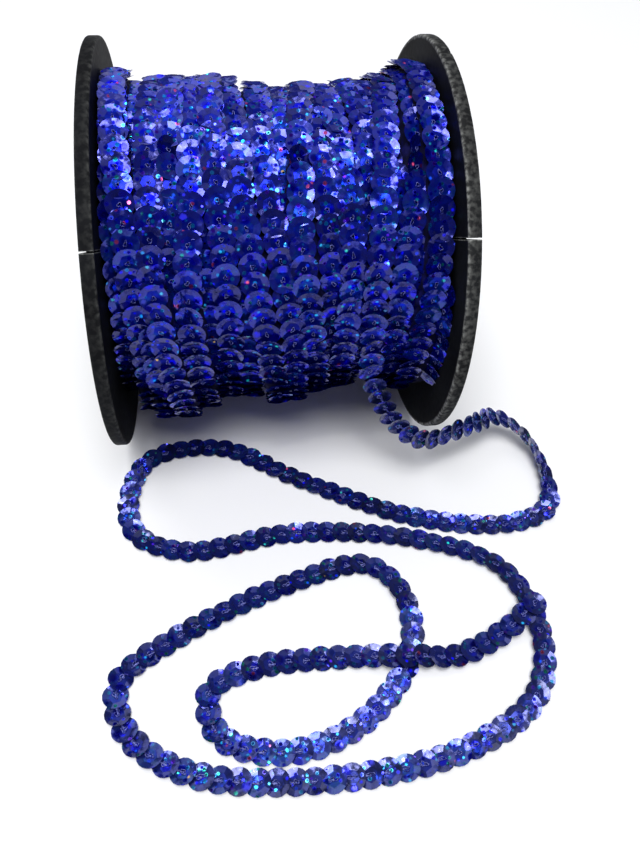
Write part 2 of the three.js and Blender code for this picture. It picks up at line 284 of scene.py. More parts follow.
def blend(places, values, at):
    """Value of a list at places between its entries, eased a little at each entry."""
    places = np.asarray(places, float)
    values = np.asarray(values, float)
    if places[0] > places[-1]:
        places = places[::-1]
        values = values[::-1]
    at = np.asarray(at, float)
    i = np.clip(np.searchsorted(places, at), 1, len(places) - 1)
    held = np.clip((at - places[i - 1]) / (places[i] - places[i - 1]), 0, 1)
    eased = held * held * (3 - 2 * held)
    return values[i - 1] + (values[i] - values[i - 1]) * (0.5 * held + 0.5 * eased)


def slow_noise(along, wavelength, seed):
    """Smooth noise between about -1 and 1 along a line: a sum of five sines, each shorter and weaker."""
    phases = np.random.default_rng(seed).uniform(0, 2 * math.pi, 5)
    total = np.zeros_like(np.asarray(along, float))
    for k, phase in enumerate(phases):
        total += np.sin(2 * math.pi * along * (0.6 + 0.37 * k) / wavelength + phase) / (1 + 0.5 * k)
    return total / 2.2


def grid_quads(rows, columns, closed=True):
    """Quads between the points of a grid that closes round its columns and, if closed, round its rows."""
    j, i = np.meshgrid(np.arange(rows if closed else rows - 1), np.arange(columns), indexing="ij")
    here = j * columns
    below = (j + 1) % rows * columns
    after = (i + 1) % columns
    return np.stack([here + i, here + after, below + after, below + i], -1).reshape(-1, 4)


def repeated(quads, count, points_each):
    """The same quads for each of count copies of a shape."""
    return quads[None] + (np.arange(count) * points_each)[:, None, None]


def distances(points):
    """Distance along a polyline at each of its points."""
    return np.r_[0, np.cumsum(np.linalg.norm(np.diff(points, axis=0), axis=1))]


def sequin_cup():
    """One sequin about the origin, its cup open to +Z: its points, quads and which points are rim.

    A thin closed film. A flat six-sided middle with a hole has six facets bent up round it: the
    height grows with the distance along the facet's own direction, past the middle's straight side.
    """
    segments = SEQUIN_POINTS
    angle = 2 * math.pi * np.arange(segments) / segments
    step = 2 * math.pi / SEQUIN_FACETS
    off_facet = angle % step - step / 2
    crease = SEQUIN_FLAT / np.cos(off_facet)
    rim_height = SEQUIN_SLOPE * (SEQUIN_RADIUS * np.cos(off_facet) - SEQUIN_FLAT)
    around = np.stack([np.cos(angle), np.sin(angle)], -1)
    rings = [
        (np.full(segments, SEQUIN_HOLE), np.zeros(segments)),
        (crease, np.zeros(segments)),
        (np.full(segments, SEQUIN_RADIUS), rim_height),
        (crease, np.full(segments, -SEQUIN_FILM)),
    ]
    points = np.concatenate([np.c_[around * radius[:, None], height] for radius, height in rings])
    quads = grid_quads(len(rings), segments)[:, [0, 3, 2, 1]]
    return points, quads, np.repeat([0.0, 0.0, 1.0, 0.0], segments)


def frames_on(tangents, faces):
    """Axes along a strip, across it and out of its face, from rough face directions."""
    along = unit(tangents)
    across = unit(np.cross(faces, along))
    return along, across, np.cross(along, across)


def lay_sequins(name, centres, tangents, faces, tilt, roll, jitter, spread=1.0):
    """One joined mesh of sequins on a strip: each next one overlaps the one before it.

    tilt leans each face towards the strip's loose end and roll turns it about the strip's length.
    spread widens the sequins. Each point carries its sequin's own random number, and whether it is
    rim. Also given back are the sequins' seats and the directions that their cups open to.
    """
    points, quads, rim = sequin_cup()
    count = len(centres)
    along, across, out = frames_on(tangents, faces)
    tilt = np.radians(np.broadcast_to(tilt, count) + jitter * rng.normal(0, 1, count))
    roll = np.radians(np.broadcast_to(roll, count) + ROLL_JITTER_SHARE * jitter * rng.normal(0, 1, count))
    rolled_out = out * np.cos(roll)[:, None] + across * np.sin(roll)[:, None]
    rolled_across = across * np.cos(roll)[:, None] - out * np.sin(roll)[:, None]
    z = rolled_out * np.cos(tilt)[:, None] + along * np.sin(tilt)[:, None]
    x = along * np.cos(tilt)[:, None] - rolled_out * np.sin(tilt)[:, None]
    spin = rng.uniform(0, 2 * math.pi, count)
    u = x * np.cos(spin)[:, None] + rolled_across * np.sin(spin)[:, None]
    v = rolled_across * np.cos(spin)[:, None] - x * np.sin(spin)[:, None]
    seats = centres + rolled_out * SEQUIN_SEAT
    placed = (
        seats[:, None]
        + points[None, :, 0, None] * spread * u[:, None]
        + points[None, :, 1, None] * spread * v[:, None]
        + points[None, :, 2, None] * z[:, None]
    )
    all_quads = repeated(quads, count, len(points))
    own = np.repeat(rng.uniform(0, 1, count), len(points))
    piece = put_mesh(name, placed, all_quads, {"sequin": own, "rim": np.tile(rim, count)})
    return piece, seats, z


def spaced(points, pitch):
    """Even places along a polyline: their positions, directions and distances."""
    distance = distances(points)
    at = np.arange(pitch / 2, distance[-1], pitch)
    near = 0.5
    place, ahead, behind = [
        np.stack([np.interp(there, distance, points[:, k]) for k in range(3)], -1)
        for there in (at, at + near, at - near)
    ]
    return place, ahead - behind, at


def catmull_rom(points, samples):
    """Centripetal Catmull-Rom curve through the points, with each sample's place in their list."""
    points = np.asarray(points, float)
    ends = np.vstack([2 * points[0] - points[1], points, 2 * points[-1] - points[-2]])
    line = []
    for i in range(1, len(ends) - 2):
        p0, p1, p2, p3 = ends[i - 1:i + 3]
        d0, d1, d2 = [math.sqrt(np.linalg.norm(b - a)) for a, b in ((p0, p1), (p1, p2), (p2, p3))]
        t1 = ((p1 - p0) / d0 - (p2 - p0) / (d0 + d1) + (p2 - p1) / d1) * d1
        t2 = ((p2 - p1) / d1 - (p3 - p1) / (d1 + d2) + (p3 - p2) / d2) * d1
        s = np.linspace(0, 1, samples, endpoint=False)[:, None]
        square = 3 * (p2 - p1) - 2 * t1 - t2
        cube = 2 * (p1 - p2) + t1 + t2
        line.append(p1 + t1 * s + square * s ** 2 + cube * s ** 3)
    line.append(points[-1][None])
    places = np.arange(len(points) * samples - samples + 1) / samples
    return np.vstack(line), places


# Loose end.
def round_directions(first, second, angle):
    """Unit directions at angles round a line, from two axes across it."""
    return first[:, None] * np.cos(angle)[None, :, None] + second[:, None] * np.sin(angle)[None, :, None]


def tube_along(points, across, out, radius, sides):
    """Points and quads of a round tube along a line, its ends drawn together almost to a point."""
    angle = 2 * math.pi * np.arange(sides) / sides
    width = np.full(len(points), radius)
    width[0] = width[-1] = radius * CHAIN_END_SHARE
    ring = points[:, None] + round_directions(across, out, angle) * width[:, None, None]
    return ring, grid_quads(len(points), sides, closed=False)


def stitches(name, seats, z, forward, size):
    """Thread loop lying round each sequin's hole, uneven, and drawn out along the strip.

    Each loop is a thin ring of thread whose distance from the hole swells and shrinks around it.
    size makes the loops and their thread smaller.
    """
    thread = THREAD_RADIUS * size
    count = len(seats)
    angle = 2 * math.pi * np.arange(STITCH_POINTS) / STITCH_POINTS
    forward = unit(forward - (forward * z).sum(-1, keepdims=True) * z)
    side = np.cross(z, forward)
    phase = rng.uniform(0, 2 * math.pi, (count, len(STITCH_WAVES) + 1))
    waves = [
        height * np.sin(times * angle + start[:, None])
        for (height, times), start in zip(STITCH_WAVES, phase.T)
    ]
    reach = (STITCH_REACH + sum(waves)) * size
    lift = STITCH_LIFT + STITCH_LIFT_WAVE * np.sin(2 * angle[None] + phase[:, -1:])
    ahead = STITCH_LENGTHWISE * reach * np.cos(angle)[None] + STITCH_AHEAD
    aside = STITCH_CROSSWISE * reach * np.sin(angle)[None]
    centre = (
        seats[:, None]
        + forward[:, None] * ahead[:, :, None]
        + side[:, None] * aside[:, :, None]
        + z[:, None] * lift[:, :, None]
    )
    radial = round_directions(forward, side, angle)
    around = 2 * math.pi * np.arange(THREAD_SIDES) / THREAD_SIDES
    ring = (
        centre[:, :, None]
        + radial[:, :, None] * (thread * np.cos(around))[None, None, :, None]
        + z[:, None, None] * (thread * np.sin(around))[None, None, :, None]
    )
    quads = grid_quads(STITCH_POINTS, THREAD_SIDES)
    return put_mesh(name, ring, repeated(quads, count, STITCH_POINTS * THREAD_SIDES), smooth=True)


def tail_faces(place):
    """Directions that the loose end's face looks at, at places in its route's list of points."""
    rows = np.array(TAIL_FACE)
    return np.stack([blend(rows[:, 0], rows[:, k], place) for k in (1, 2, 3)], -1)


def make_tail():
    """Loose end: sequins laid along the route, with the chain of thread that they hang on."""
    line, places = catmull_rom(TAIL_ROUTE, ROUTE_SAMPLES)
    centres, tangents, at = spaced(line, TAIL_PITCH)
    distance = distances(line)
    faces = tail_faces(np.interp(at, distance, places))
    roll = TAIL_ROLL * slow_noise(at, TAIL_ROLL_LENGTH, TAIL_SEED)
    tail, seats, z = lay_sequins("tail_sequins", centres, tangents, faces, TAIL_TILT, roll, TAIL_JITTER)
    thread = stitches("tail_stitches", seats, z, tangents, 1.0)
    chain_at = np.linspace(0, len(line) - 1, CHAIN_POINTS).astype(int)
    chain = line[chain_at]
    _, across, out = frames_on(np.gradient(chain, axis=0), tail_faces(places[chain_at]))
    points, quads = tube_along(chain - out * CHAIN_DEPTH, across, out, CHAIN_RADIUS, CHAIN_SIDES)
    backing = put_mesh("tail_thread", points, quads, smooth=True)
    return tail, thread, backing, line[::PATH_STEP] * MM, distance[-1] * MM


tail_sequins, tail_stitches, tail_thread, tail_path, tail_length = make_tail()
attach(tail_sequins, "root")
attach(tail_stitches, "root")
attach(tail_thread, "root")
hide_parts("trim_tail")


# Winding.
def round_axis(x, radius, angle):
    """Points at places along X, radii and angles in degrees up from the level front."""
    turn = np.radians(angle)
    return np.stack([x + 0 * radius, -radius * np.cos(turn), AXIS_Z + radius * np.sin(turn)], -1)


def turn_at(turn, angle):
    """Middle and radius of one turn at angles from its start down to its end, a whole round later.

    The radius goes from the top's by the front's to the bottom's, and round the back both blend
    into those of the turn that it leads to, with a sag.
    """
    at, top, front, bottom, after = TURNS[turn]
    upper = [top, top, 0.5 * (top + front), front]
    lower = [0.55 * front + 0.45 * bottom, 0.2 * front + 0.8 * bottom, bottom]
    x = blend(TURN_ANGLES, at, angle)
    radius = blend(TURN_ANGLES, upper + lower, angle)
    if after >= 0:
        back = [FRONT_END, TURN_END]
        sag = BACK_SAG * np.sin(math.pi * (FRONT_END - angle) / (FRONT_END - TURN_END))
        x = np.where(angle < FRONT_END, blend(back, [at[-1], TURNS[after][0][0]], angle), x)
        radius = np.where(angle < FRONT_END, blend(back, [bottom, TURNS[after][1]], angle) + sag, radius)
    return x, radius


def turn_line(turns, first_angle, last_angle):
    """Line of a chain of turns, and the turn and the angle at each of its points."""
    points = []
    angles = []
    for turn in turns:
        start = first_angle if turn == turns[0] else TURN_START
        stop = last_angle if turn == turns[-1] else TURN_END
        angle = np.arange(start, stop, -1.0)
        x, radius = turn_at(turn, angle)
        if turn == LAST_HELIX_TURN:
            held = np.clip((EASING_ANGLE - angle) / (EASING_ANGLE - LEAVING_ANGLE), 0, 1)
            radius = radius + (LEAVING_RADIUS - radius) * held * held * (3 - 2 * held)
        points.append(round_axis(x, radius, angle))
        angles.append(angle)
    turn_of = np.repeat(turns, [len(angle) for angle in angles])
    return np.vstack(points), turn_of, np.concatenate(angles)


def outward(points):
    """Directions straight out from the spool's axis."""
    return unit(points * [0, 1, 1] - [0, 0, AXIS_Z])


def wound_sequins(name, chains, seed):
    """Joined sequins of wound strips: chains of turns with their first and last angle and their roll.

    Given back are what lay_sequins gives and the strips' directions.
    """
    centres = []
    tangents = []
    rolls = []
    for number, (turns, first_angle, last_angle, own_roll) in enumerate(chains):
        line, turn_of, angle_of = turn_line(turns, first_angle, last_angle)
        place, direction, at = spaced(line, WOUND_PITCH)
        nearest = np.searchsorted(distances(line), at)
        roll = own_roll + WOUND_ROLL * slow_noise(at, WOUND_ROLL_LENGTH, seed + ROLL_SEED_STEP + number)
        for turn, middle, half, lean in ROLLED_PLACES:
            near = np.exp(-((angle_of[nearest] - middle) / half) ** 2)
            roll += np.where(turn_of[nearest] == turn, lean * near, 0)
        stray = WOUND_STRAY * slow_noise(at, WOUND_STRAY_LENGTH, seed + number)
        centres.append(place + [1, 0, 0] * stray[:, None])
        tangents.append(direction)
        rolls.append(roll)
    centres = np.vstack(centres)
    tangents = np.vstack(tangents)
    rolls = np.concatenate(rolls)
    faces = outward(centres)
    laid = lay_sequins(name, centres, tangents, faces, WOUND_TILT, rolls, WOUND_JITTER, WOUND_SPREAD)
    return laid + (tangents,)


def winding_radius(x, angle):
    """Outer radius of the winding: the highest turn there, or a trench floor below the turns about it.

    A turn's crown is half an ellipse across it. The floor is the turns' radius there, weighed by a
    bell curve of the distance to each, less the trench's depth.
    """
    total = np.zeros(np.broadcast(x, angle).shape)
    weight = total.copy()
    high = total.copy()
    for turn, row in enumerate(TURNS):
        middle, radius = turn_at(turn, angle)
        there = (angle >= FRONT_END) | (row[4] >= 0)
        away = np.abs(x - middle)
        near = np.where(there, np.exp(-away * away / TRENCH_SPREAD), 0)
        total += near * radius
        weight += near
        crown = TURN_CROWN * np.sqrt(np.clip(1 - (away / TURN_HALF_WIDTH) ** 2, 0, 1))
        high = np.maximum(high, np.where(there & (away < TURN_HALF_WIDTH), radius + crown - TURN_SINK, 0))
    return np.maximum(high, total / weight - TRENCH_DEPTH)


def make_winding_body():
    """Ring of the wound trim below its outer sequins, from its bore out."""
    end = INNER_FACE - CLEARANCE
    bore = BARREL_RADIUS + CLEARANCE
    x = np.linspace(-end, end, BODY_COLUMNS)
    angle = TURN_START - 360.0 * np.arange(BODY_ROWS) / BODY_ROWS
    x_grid, angle_grid = np.meshgrid(x, angle)
    radius = winding_radius(x_grid, angle_grid) - BODY_BELOW
    outside = round_axis(x_grid, radius, angle_grid)
    ends = np.broadcast_to([end, -end], (BODY_ROWS, 2))
    inside = round_axis(ends, np.full(ends.shape, bore), angle[:, None])
    points = np.concatenate([outside, inside], 1)
    piece = put_mesh("winding_body", points, grid_quads(*points.shape[:2]), smooth=True)
    face_outward(piece)
    return piece


def make_winding():
    """Outer turns, the layer that shows between them, and the body of the winding below."""
    helix = list(range(FIRST_HELIX_TURN, LAST_HELIX_TURN + 1))
    chains = [(helix, TURN_START, LEAVING_ANGLE, 0.0)]
    chains += [([turn], TURN_START, TURN_END, 0.0) for turn in OUTER_LOOPS]
    chains += [([EDGE_LOOP], EDGE_LOOP_START, EDGE_LOOP_END, EDGE_LOOP_ROLL)]
    outer, seats, z, tangents = wound_sequins("winding_sequins", chains, WOUND_SEED)
    thread = stitches("winding_stitches", seats, z, tangents, WOUND_STITCH_SIZE)
    below = [([turn], TURN_START, TURN_END, 0.0) for turn in UNDER_LOOPS]
    under = wound_sequins("winding_under_layer", below, UNDER_SEED)[0]
    return outer, thread, under, make_winding_body()


winding_sequins, winding_stitches, winding_under_layer, winding_body = make_winding()
for piece in (winding_sequins, winding_stitches, winding_under_layer, winding_body):
    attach(piece, "root")
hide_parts("winding")


# Spool.

# Radius of the rim's corners, and how far in from them each face's outermost points lie.
RIM_CORNER = 0.55
RIM_INSET = 0.5
INNER_FACE_RADII = [BORE_RADIUS, 16.0, 24.0, 32.0, 36.0, SLIT_INNER_RADIUS, 44.0]

# The outer face with its recess, from the rim in. Columns: radius, depth.
OUTER_FACE = [
    (44.0, 0), (SLIT_INNER_RADIUS, 0), (36.0, 0), (35.4, 0.5), (32.0, 0.5),
    (24.0, 0.5), (18.6, 0.5), (18.0, 0), (12.0, 0), (BORE_RADIUS, 0),
]

# Paleness round a rim corner, partly real wear and partly a painted highlight on the edge, as columns
# of turn and paleness. Then that of the rim's middle, the factor for the outer corner, and each flange's
# own factor.
CORNER_WEAR_AND_HIGHLIGHT = [(0, 1), (22.5, 1), (45, 0.8), (67.5, 0.5), (90, 0.3)]
MIDDLE_WEAR_AND_HIGHLIGHT = 0.2
OUTER_WEAR_AND_HIGHLIGHT = 0.5
# The right flange's rim corners are painted four times as pale as the left's, partly as a highlight.
LEFT_WEAR_AND_HIGHLIGHT = 0.25
RIGHT_WEAR_AND_HIGHLIGHT = 1

# Nicks in the rims. Columns: angle, width as an angle, depth.
NICKS_LEFT = [(118.0, 0.9, 0.2)]
NICKS_RIGHT = [(122.0, 0.8, 0.3), (95.0, 0.9, 0.35)]

# Outlines round a flange, the angle from the slit to the first of them, and the barrel's step.
FLANGE_OUTLINES = 300
BESIDE_SLIT = 0.55
BARREL_STEP = 3


def ring_mesh(name, rings):
    """Closed ring round the spool's axis from an array of outlines, each of (x, radius, wear, angle)."""
    points = round_axis(rings[:, :, 0], rings[:, :, 1], rings[:, :, 3])
    piece = put_mesh(name, points, grid_quads(*rings.shape[:2]), {"wear_and_highlight": rings[:, :, 2]}, smooth=True)
    face_outward(piece)
    return piece


def rim_radius(angle, nicks):
    """Radius of a rim: round, but cut straight where it stands, less a bell curve at each nick."""
    down = np.abs((angle + 270) % 360 - 180)
    flat = np.where(down < FLAT_HALF_ANGLE, AXIS_Z / np.cos(np.radians(down)), FLANGE_RADIUS)
    nicked = sum(depth * np.exp(-((angle - place) / width) ** 2) for place, width, depth in nicks)
    return np.minimum(FLANGE_RADIUS, flat) - nicked


def flange_profile(inner, outer, side, wear_and_highlight):
    """Outline of a flange out along its inner face, round the rim and back along the outer face.

    Columns: x, radius, 1 where the radius is counted from the rim's or else 0, and paleness: wear with a
    painted highlight.
    """
    edge = -RIM_CORNER - RIM_INSET
    bend = []
    for turn, worn_and_lit in CORNER_WEAR_AND_HIGHLIGHT:
        deep = side * RIM_CORNER * (1 - math.cos(math.radians(turn)))
        below = -RIM_CORNER * (1 - math.sin(math.radians(turn)))
        bend.append((deep, below, worn_and_lit * wear_and_highlight))
    rows = [(inner, radius, 0, 0) for radius in INNER_FACE_RADII]
    rows.append((inner, edge, 1, 0))
    rows += [(inner + deep, below, 1, worn_and_lit) for deep, below, worn_and_lit in bend]
    rows.append((0.5 * (inner + outer), 0, 1, MIDDLE_WEAR_AND_HIGHLIGHT * wear_and_highlight))
    rows += [(outer - deep, below, 1, OUTER_WEAR_AND_HIGHLIGHT * worn_and_lit) for deep, below, worn_and_lit in reversed(bend)]
    rows.append((outer, edge, 1, 0))
    rows += [(outer - side * depth, radius, 0, 0) for radius, depth in OUTER_FACE]
    return np.array(rows).T


def make_flange(name, side, nicks, wear_and_highlight):
    """Moulded disc with rounded rim corners, a slit from the rim and small nicks in its edge.

    The same outline stands at even angles round the axis, its rim points moved to the rim's radius.
    The two outlines beside the slit follow its straight walls, and their lips are pale, partly as wear and
    partly as a painted highlight. Between them stand two that reach only to the slit's foot, their points
    spread across the disc's thickness.
    """
    inner = side * INNER_FACE
    outer = side * (INNER_FACE + FLANGE_THICKNESS)
    x, fixed, follows, worn_and_lit = flange_profile(inner, outer, side, wear_and_highlight)
    angle = np.linspace(SLIT_ANGLE + BESIDE_SLIT, SLIT_ANGLE + 360 - BESIDE_SLIT, FLANGE_OUTLINES)[:, None]
    disc = np.stack(np.broadcast_arrays(x, fixed + follows * rim_radius(angle, nicks), worn_and_lit, angle), -1)
    radius = fixed + follows * FLANGE_RADIUS
    cut = radius >= SLIT_INNER_RADIUS
    off = np.degrees(SLIT_WIDTH / 2 / np.maximum(radius, SLIT_INNER_RADIUS))
    wall = np.stack([x, radius, np.where(cut, 1, worn_and_lit), off], -1)
    foot = wall.copy()
    foot[cut, 0] = np.linspace(inner, outer, cut.sum())
    foot[cut, 1:] = (SLIT_INNER_RADIUS, 0, off.max())
    slit = np.stack([wall, wall, foot, foot])
    slit[:, :, 3] = SLIT_ANGLE + slit[:, :, 3] * np.array([1, -1, -1, 1])[:, None]
    return ring_mesh(name, np.concatenate([slit[:1], disc, slit[1:]]))


def make_barrel():
    """Plain tube between the flanges."""
    end = INNER_FACE - CLEARANCE
    x = np.array([-end, -end, end, end])
    radius = np.array([BORE_RADIUS, BARREL_RADIUS, BARREL_RADIUS, BORE_RADIUS])
    angle = np.arange(0, 360, BARREL_STEP)[:, None]
    return ring_mesh("barrel_tube", np.stack(np.broadcast_arrays(x, radius, 0.0, angle), -1))


flange_left = make_flange("flange_left_moulding", -1, NICKS_LEFT, LEFT_WEAR_AND_HIGHLIGHT)
flange_right = make_flange("flange_right_moulding", 1, NICKS_RIGHT, RIGHT_WEAR_AND_HIGHLIGHT)
barrel = make_barrel()
for piece, node in ((flange_left, "flange_left"), (flange_right, "flange_right"), (barrel, "barrel")):
    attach(piece, "root")
    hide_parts(node)


# Materials. Colours are linear. Grain and painted glint sizes are metres, noise scales are per metre.
FILM_TONES = [
    (0.0, (0.0015, 0.004, 0.09)),
    (0.35, (0.002, 0.006, 0.20)),
    (0.60, (0.004, 0.012, 0.32)),
    (0.80, (0.004, 0.035, 0.28)),
    (1.0, (0.006, 0.015, 0.55)),
]
BROAD_HUES = [
    (0.0, (0.001, 0.001, 0.70)),
    (0.80, (0.003, 0.03, 0.70)),
]
FINE_HUES = [
    (0.0, (0.001, 0.001, 0.90)),
    (0.45, (0.004, 0.04, 0.90)),
    (0.62, (0.008, 0.26, 0.80)),
    (0.86, (0.008, 0.36, 0.40)),
    (0.92, (0.08, 0.003, 0.80)),
    (0.98, (0.60, 0.06, 0.25)),
]
# Colours of the painted glints.
PAINTED_GLINT_HUES = [
    (0.0, (0.005, 0.005, 1.0)),
    (0.40, (0.01, 0.10, 1.0)),
    (0.58, (0.02, 0.50, 1.0)),
    (0.74, (0.03, 0.85, 0.75)),
    (0.86, (0.12, 0.02, 1.0)),
    (0.94, (0.95, 0.10, 0.25)),
    (0.97, (0.95, 0.60, 0.10)),
]
GRAIN_FADE = [(0.0, (1, 1, 1)), (0.2, (0.9, 0.9, 0.9)), (0.55, (0, 0, 0))]
PAINTED_GLINT_FADE = [(0.0, (1, 1, 1)), (0.12, (1, 1, 1)), (0.42, (0, 0, 0))]

# Columns: size, share of the cells that are grains, hues, lean.
BROAD_GRAINS = (0.0026, 0.45, BROAD_HUES, 0.6)
FINE_GRAINS = (0.0011, 0.42, FINE_HUES, 0.9)
# Painted glints: size and share of the small flecks that stand in for the film's sparkle.
PAINTED_GLINT_SIZE = 0.0013
PAINTED_GLINT_SHARE = 0.06

# The film's tone follows a cloudy noise and each sequin's own number, with a weight for each and a
# shift. The same noise also leans the surface, by RIPPLE.
CLOUD_SCALE = 520.0
CLOUD_WEIGHT = 1.1
OWN_WEIGHT = 0.5
TONE_SHIFT = -0.35
RIPPLE = 0.55

# Metal share of the film and the grains' addition to it.
FILM_METAL = 0.6
GRAIN_METAL = 0.35

# Gloss of the flats, the rim facets' addition to it and their clear coat. A facet starts where the rim
# attribute passes RIM_LEVEL.
FLAT_GLOSS = 0.1
RIM_GLOSS = 0.4
RIM_COAT = 0.5
RIM_LEVEL = 0.05

# Green of the painted grey sheen against its red, and the middle of a random colour.
PAINTED_SHEEN_GREEN = 1.2
MIDDLE = (0.5, 0.5, 0.5)


def new_material(name):
    """Empty node material, its nodes and links, and its Principled shader."""
    material = bpy.data.materials.new(name)
    material.use_nodes = True
    nodes = material.node_tree.nodes
    return material, nodes, material.node_tree.links, nodes["Principled BSDF"]


def set_or_link(links, socket, value):
    """Gives an input socket a number, a colour or vector, or another node's result."""
    if isinstance(value, (int, float)):
        socket.default_value = value
    elif isinstance(value, tuple):
        socket.default_value = (*value, 1) if socket.type == "RGBA" else value
    else:
        links.new(value, socket)


def color_ramp(nodes, links, factor, stops, interpolation="LINEAR"):
    """Colour of a factor on a ramp of (position, colour) stops."""
    node = nodes.new("ShaderNodeValToRGB")
    node.color_ramp.interpolation = interpolation
    elements = node.color_ramp.elements
    while len(elements) > 1:
        elements.remove(elements[-1])
    elements[0].position = stops[0][0]
    elements[0].color = (*stops[0][1], 1)
    for position, color in stops[1:]:
        elements.new(position).color = (*color, 1)
    links.new(factor, node.inputs[0])
    return node.outputs[0]


def mix_colors(nodes, links, factor, first, second):
    """Colour mix of two sockets or colours by a factor."""
    node = nodes.new("ShaderNodeMix")
    node.data_type = "RGBA"
    for place, value in ((0, factor), (6, first), (7, second)):
        set_or_link(links, node.inputs[place], value)
    return node.outputs[2]


def math_node(nodes, links, operation, *values):
    """Result of arithmetic on sockets or numbers."""
    node = nodes.new("ShaderNodeMath")
    node.operation = operation
    for socket, value in zip(node.inputs, values):
        set_or_link(links, socket, value)
    return node.outputs[0]


def vector_math(nodes, links, operation, first, second):
    """Result of arithmetic on two vectors, or on a vector and the number that it is scaled by."""
    node = nodes.new("ShaderNodeVectorMath")
    node.operation = operation
    set_or_link(links, node.inputs[0], first)
    set_or_link(links, node.inputs["Scale"] if operation == "SCALE" else node.inputs[1], second)
    return node.outputs[0]


def noise_of(nodes, links, where, scale, detail=2.0):
    """Noise texture on Object coordinates."""
    noise = nodes.new("ShaderNodeTexNoise")
    noise.inputs["Scale"].default_value = scale
    noise.inputs["Detail"].default_value = detail
    links.new(where.outputs["Object"], noise.inputs["Vector"])
    return noise


def attribute_of(nodes, name):
    """Value of a piece's own point attribute."""
    node = nodes.new("ShaderNodeAttribute")
    node.attribute_name = name
    return node.outputs["Fac"]


def cells_of(nodes, links, where, scale):
    """Voronoi cells on Object coordinates."""
    cells = nodes.new("ShaderNodeTexVoronoi")
    cells.inputs["Scale"].default_value = scale
    links.new(where.outputs["Object"], cells.inputs["Vector"])
    return cells


def split_color(nodes, links, color):
    """Red, green and blue of a colour."""
    split = nodes.new("ShaderNodeSeparateColor")
    links.new(color, split.inputs[0])
    return split.outputs


def grains_of(nodes, links, where, size, share, hues, lean):
    """Layer of soft round grains of a size in metres: strength, colour, and how the surface leans.

    Each cell has a chance of being a grain. A grain is full at its middle and fades out towards
    its edge, and so does its lean, so that only a small soft point of it flashes at once.
    """
    cells = cells_of(nodes, links, where, 1 / size)
    chance = nodes.new("ShaderNodeTexWhiteNoise")
    links.new(cells.outputs["Position"], chance.inputs["Vector"])
    picked = math_node(nodes, links, "GREATER_THAN", chance.outputs["Value"], 1 - share)
    fade = color_ramp(nodes, links, cells.outputs["Distance"], GRAIN_FADE, "EASE")
    strength = math_node(nodes, links, "MULTIPLY", picked, fade)
    hue = color_ramp(nodes, links, split_color(nodes, links, cells.outputs["Color"])[1], hues, "CONSTANT")
    off = vector_math(nodes, links, "SUBTRACT", chance.outputs["Color"], MIDDLE)
    amount = math_node(nodes, links, "MULTIPLY", strength, lean)
    return strength, hue, vector_math(nodes, links, "SCALE", off, amount)


def painted_glints_of(nodes, links, where):
    """Layer of small flecks painted bright as glints: strength and colour. A few cells are picked by their
    random green.
    """
    cells = cells_of(nodes, links, where, 1 / PAINTED_GLINT_SIZE)
    red, green, _ = split_color(nodes, links, cells.outputs["Color"])
    hue = color_ramp(nodes, links, red, PAINTED_GLINT_HUES, "CONSTANT")
    picked = math_node(nodes, links, "GREATER_THAN", green, 1 - PAINTED_GLINT_SHARE)
    fade = color_ramp(nodes, links, cells.outputs["Distance"], PAINTED_GLINT_FADE, "EASE")
    return math_node(nodes, links, "MULTIPLY", picked, fade), hue


